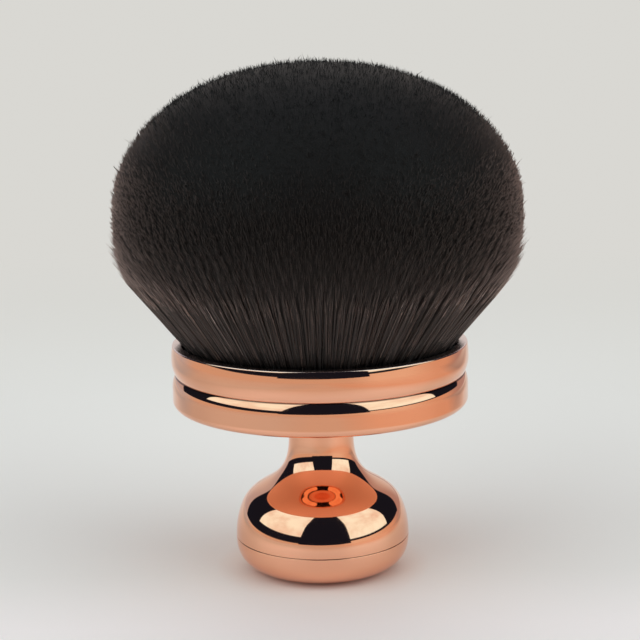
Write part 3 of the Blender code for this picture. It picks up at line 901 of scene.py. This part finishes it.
def fibre_map(shares):
    """A cell of the UV square for each fibre, with its sides across and its length up."""
    index = np.arange(len(shares))
    grid = math.ceil(math.sqrt(len(shares)))
    cell = np.stack([index % grid, index // grid], 1) / grid
    places = np.zeros((*shares.shape, 2))
    places[..., 0] = cell[:, :1] + np.arange(CORNERS) % SIDES / SIDES / grid * UV_FILL
    places[..., 1] = cell[:, 1:] + shares / grid * UV_FILL
    return places.reshape(-1, 2)


def grow(number, kind, draw, centres, paints):
    """One mesh with a batch of three-sided pointed fibres, its paints given from the tip down."""
    count = FIBRES_PER_BATCH
    rows, clump_tone = centre_lines(kind, draw, centres)
    places, shares, ways = fibre_points(rows, draw)
    tones = fibre_tones(places, clump_tone, draw)
    normals = fibre_normals(kind, places, shares, ways, draw)
    pattern = fibre_faces()
    first = np.arange(count)[:, None] * CORNERS
    loops = (first + np.concatenate(pattern)).ravel().astype(np.int32)
    sizes = np.tile([len(face) for face in pattern], count)
    starts = (np.cumsum(sizes) - sizes).astype(np.int32)
    # Lower rows take the copies with less sheen, as painted shade at the roots
    row_of_face = np.arange(len(pattern)) // SIDES
    slots = np.maximum(len(paints) - 1 - row_of_face, 0)
    mesh = bpy.data.meshes.new(f"tuft_fibres_{number}")
    mesh.vertices.add(count * CORNERS)
    mesh.vertices.foreach_set("co", places.ravel().astype(np.float32))
    mesh.loops.add(len(loops))
    mesh.loops.foreach_set("vertex_index", loops)
    mesh.polygons.add(len(sizes))
    mesh.polygons.foreach_set("loop_start", starts)
    mesh.polygons.foreach_set("material_index", np.tile(slots, count).astype(np.int32))
    mesh.update(calc_edges=True)
    attribute = mesh.attributes.new("tone", "FLOAT", "POINT")
    attribute.data.foreach_set("value", tones.ravel().astype(np.float32))
    layer = mesh.uv_layers.new(name="OFBake")
    layer.data.foreach_set("uv", fibre_map(shares)[loops].astype(np.float32).ravel())
    for paint in paints:
        mesh.materials.append(paint)
    mesh.shade_smooth()
    mesh.normals_split_custom_set_from_vertices(normals.reshape(-1, 3))
    piece = bpy.data.objects.new(f"tuft_fibres_{number}", mesh)
    bpy.context.scene.collection.objects.link(piece)
    return piece


def dress(piece, node):
    """Let a new piece ride on the body and stand for a node of the frame."""
    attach(piece, "root")
    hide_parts(node)


def finish_node(node, paint):
    """Give a node of the frame its finish."""
    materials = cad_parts[node].data.materials
    materials.clear()
    materials.append(paint)


def camera():
    """The camera of the photograph."""
    data = bpy.data.cameras.new("camera")
    data.lens = CAMERA_LENS
    data.sensor_width = SENSOR_WIDTH
    data.clip_start = CLIP_NEAR
    data.clip_end = CLIP_FAR
    item = bpy.data.objects.new("camera", data)
    tilt = Matrix.Rotation(math.pi / 2 - CAMERA_PITCH, 4, "X")
    roll = Matrix.Rotation(-CAMERA_ROLL, 4, "Z")
    item.matrix_world = Matrix.Translation(CAMERA_PLACE) @ tilt @ roll
    bpy.context.scene.collection.objects.link(item)
    bpy.context.scene.camera = item


def studio():
    """Pale backdrop behind, a dark room in front of it with two bright windows, pale ceiling."""
    world = bpy.data.worlds.new("studio")
    bpy.context.scene.world = world
    world.use_nodes = True
    world.node_tree.nodes.clear()
    sky = Nodes(world.node_tree)
    direction = sky.add("ShaderNodeTexCoord").outputs["Generated"]
    parts = sky.split(direction)
    azimuth = sky.azimuth(parts)
    turn = sky.maths("ABSOLUTE", azimuth)
    height = sky.maths("MULTIPLY", sky.maths("ARCSINE", parts["Z"]), math.degrees(1))
    path = sky.add("ShaderNodeLightPath").outputs
    mirrored = path["Is Glossy Ray"]
    right = sky.above(azimuth, *MIDLINE)

    # The windows stand on a sill, to both sides of a dark gap behind the camera
    half_width = sky.ranged(height, 0.0, GAP_HEIGHT, *GAP_WIDTHS)
    middle = sky.ranged(height, 0.0, GAP_HEIGHT, *GAP_MIDDLES)
    centred = sky.maths("ABSOLUTE", sky.maths("SUBTRACT", azimuth, middle))
    beside = sky.above(centred, half_width, WINDOW_SOFT)
    open_side = sky.maths("SUBTRACT", 1.0, sky.above(turn, *WINDOW_END))
    sill = sky.ranged(right, 0.0, 1.0, SILL_LEFT, SILL_RIGHT)
    window = sky.maths("MULTIPLY", sky.above(height, sill, WINDOW_SOFT),
                       sky.maths("MULTIPLY", open_side, beside))
    cloud = sky.add("ShaderNodeTexNoise",
                    {"Vector": direction, "Scale": CLOUD_SCALE, "Detail": 2.0}).outputs["Fac"]
    share = sky.maths("MULTIPLY", sky.above(cloud, *CLOUD_STEP),
                      sky.ranged(right, 0.0, 1.0, LEFT_WINDOW_SHARE, 1.0))
    light = sky.blend(mirrored, WINDOW_LIGHT, sky.blend(share, WINDOW_DIM, WINDOW_BRIGHT))
    colour = sky.blend(window, ROOM, light)

    # The backdrop closes the room behind, the ceiling above and the far table below
    edge = sky.maths("MULTIPLY_ADD", sky.maths("MAXIMUM", height, 0.0), BACKDROP_LEAN,
                     BACKDROP_EDGE)
    sides = sky.blend(right, BACKDROP_LEFT, BACKDROP_RIGHT)
    backdrop = sky.blend(sky.above(turn, *BACKDROP_PALE), sides, PALE)
    colour = sky.blend(sky.above(turn, edge, BACKDROP_SOFT), colour, backdrop)
    front = sky.maths("SUBTRACT", 1.0, sky.above(turn, *FRONT_END))
    rim = sky.maths("MULTIPLY_ADD", sky.maths("MULTIPLY", front, mirrored), CEILING_FRONT_RISE,
                    CEILING_EDGE)
    ceiling = sky.blend(mirrored, CEILING_LIGHT, CEILING)
    colour = sky.blend(sky.above(height, rim, CEILING_SOFT), colour, ceiling)
    horizon = sky.ranged(right, 0.0, 1.0, HORIZON_LEFT, HORIZON_RIGHT)
    under = sky.maths("SUBTRACT", 1.0, sky.above(height, horizon, HORIZON_SOFT))
    colour = sky.blend(sky.maths("MULTIPLY", beside, under), colour, sky.table(azimuth))
    colour = sky.blend(path["Is Camera Ray"], colour, PALE)
    background = sky.add("ShaderNodeBackground", {"Color": colour, "Strength": 1.0})
    output = sky.add("ShaderNodeOutputWorld")
    sky.join(output.inputs["Surface"], background.outputs[0])


def table_paint():
    """Pale table top, with painted light, shade and reflections by place, that glows like the
    backdrop far from the brush.
    """
    paint = Paint("pale_table")
    place = paint.place()
    parts = paint.split(place)
    across, depth = parts["X"], parts["Y"]
    seen = paint.add("ShaderNodeLightPath").outputs["Is Camera Ray"]
    away = paint.add("ShaderNodeVectorMath", {0: place}, operation="LENGTH").outputs["Value"]
    drift = paint.maths("MULTIPLY", depth, SIDE_DRIFT)
    right = paint.maths("SUBTRACT", across, drift)
    left = paint.maths("ADD", across, drift)
    beside = paint.maths("SUBTRACT", paint.maths("ABSOLUTE", across), drift)
    # Painted light and shade round the knob's foot: warm light thrown back by the plating, and
    # contact shade
    plain = paint.blend(paint.ranged(away, *FOOT_PAINTED_GLOW_BAND), FLOOR_MIDDLE, FLOOR_FOOT_PAINTED_GLOW_AND_SHADE)
    # Painted shade on the floor behind the brush, and painted light in front of it
    plain = paint.blend(paint.ranged(depth, *BACK_PAINTED_SHADE_BAND), plain, FLOOR_BACK_PAINTED_SHADE)
    plain = paint.blend(paint.ranged(depth, *FRONT_PAINTED_LIGHT_BAND), plain, FLOOR_FRONT_PAINTED_LIGHT)
    # Painted reflections: tints that only reflected and bounced rays see, towards the camera, to the
    # left, to the right and at the far sides
    tint = paint.blend(paint.ranged(depth, *CAMERA_PAINTED_REFLECTION_BAND), plain, FLOOR_CAMERA_PAINTED_REFLECTION)
    tint = paint.blend(paint.ranged(left, *LEFT_PAINTED_REFLECTION_BAND), tint, FLOOR_LEFT_PAINTED_REFLECTION)
    tint = paint.blend(paint.ranged(right, *RIGHT_PAINTED_REFLECTION_BAND), tint, FLOOR_RIGHT_PAINTED_REFLECTION)
    side = paint.maths("MULTIPLY", paint.ranged(beside, *SIDE_PAINTED_REFLECTION_BAND),
                       paint.ranged(depth, *SIDE_BACK_PAINTED_REFLECTION_BAND))
    far_side = paint.blend(paint.ranged(across, *MIDDLE_BAND), FLOOR_SIDE_LEFT_PAINTED_REFLECTION, FLOOR_SIDE_RIGHT_PAINTED_REFLECTION)
    tint = paint.blend(seen, paint.blend(side, tint, far_side), plain)
    mottle = paint.ranged(paint.noise(MOTTLE_SCALE, at=place), *GRAIN_RANGE, to_high=MOTTLE)
    paint.set(Base_Color=paint.blend(mottle, tint, PALE), Roughness=0.6, Specular_IOR_Level=0.3)
    behind = paint.maths("MULTIPLY", paint.ranged(beside, *BEHIND_BAND),
                         paint.ranged(depth, *BEHIND_START))
    far = paint.blend(paint.maths("MAXIMUM", behind, seen), paint.table(paint.azimuth(parts)), PALE)
    glow = paint.add("ShaderNodeEmission", {"Color": far, "Strength": 1.0})
    mix = paint.add("ShaderNodeMixShader", {0: paint.ranged(away, *FADE_BAND),
                                            1: paint.shader.outputs[0], 2: glow.outputs[0]})
    paint.join(paint.tree.nodes["Material Output"].inputs["Surface"], mix.outputs[0])
    return paint.material


def floor():
    """Wide round table top under the brush."""
    mesh = bpy.data.meshes.new("floor")
    shape = bmesh.new()
    bmesh.ops.create_circle(shape, cap_ends=True, segments=FLOOR_SEGMENTS, radius=FLOOR_RADIUS)
    shape.to_mesh(mesh)
    shape.free()
    mesh.materials.append(table_paint())
    item = bpy.data.objects.new("floor", mesh)
    bpy.context.scene.collection.objects.link(item)


bpy.context.scene.view_settings.view_transform = "Standard"
camera()
studio()
floor()

plating = rose_gold()
dress(base_cap(plating), "base_cap")
dress(handle(plating), "handle_shell")
dress(ferrule(plating), "ferrule_shell")
dress(core(core_paint()), "bristle_tuft")

draw = np.random.default_rng(SEED)
centres = clump_centres(draw)
# Copies of one fibre paint that differ only in sheen: painted shade on the crown and roots, painted
# light on the flank tips
dark = fibre_paint("dark_fibre", DEEP_SHADE_SHEEN)
shaded = fibre_paint("shaded_fibre", SHADED_SHEEN)
sheen_lit = fibre_paint("lit_fibre", LIT_SHEEN)
fibres = {"crown": (dark, dark, dark), "middle": (shaded, shaded, dark),
          "flank": (sheen_lit, shaded, dark)}
for number, kind in enumerate(BATCHES, 1):
    dress(grow(number, kind, draw, centres, fibres[kind]), "bristle_tuft")

steel = turned_metal("plain_steel", STEEL_BRIGHT, STEEL_DULL, STEEL_ROUGH)
brass = turned_metal("insert_brass", BRASS_BRIGHT, BRASS_DULL, BRASS_ROUGH)
finish_node("base_weight", steel)
finish_node("screw_washer", steel)
finish_node("ferrule_screw", steel)
finish_node("thread_insert", brass)
finish_node("tuft_cup", black_moulding())
finish_node("glue_plug", cured_glue())
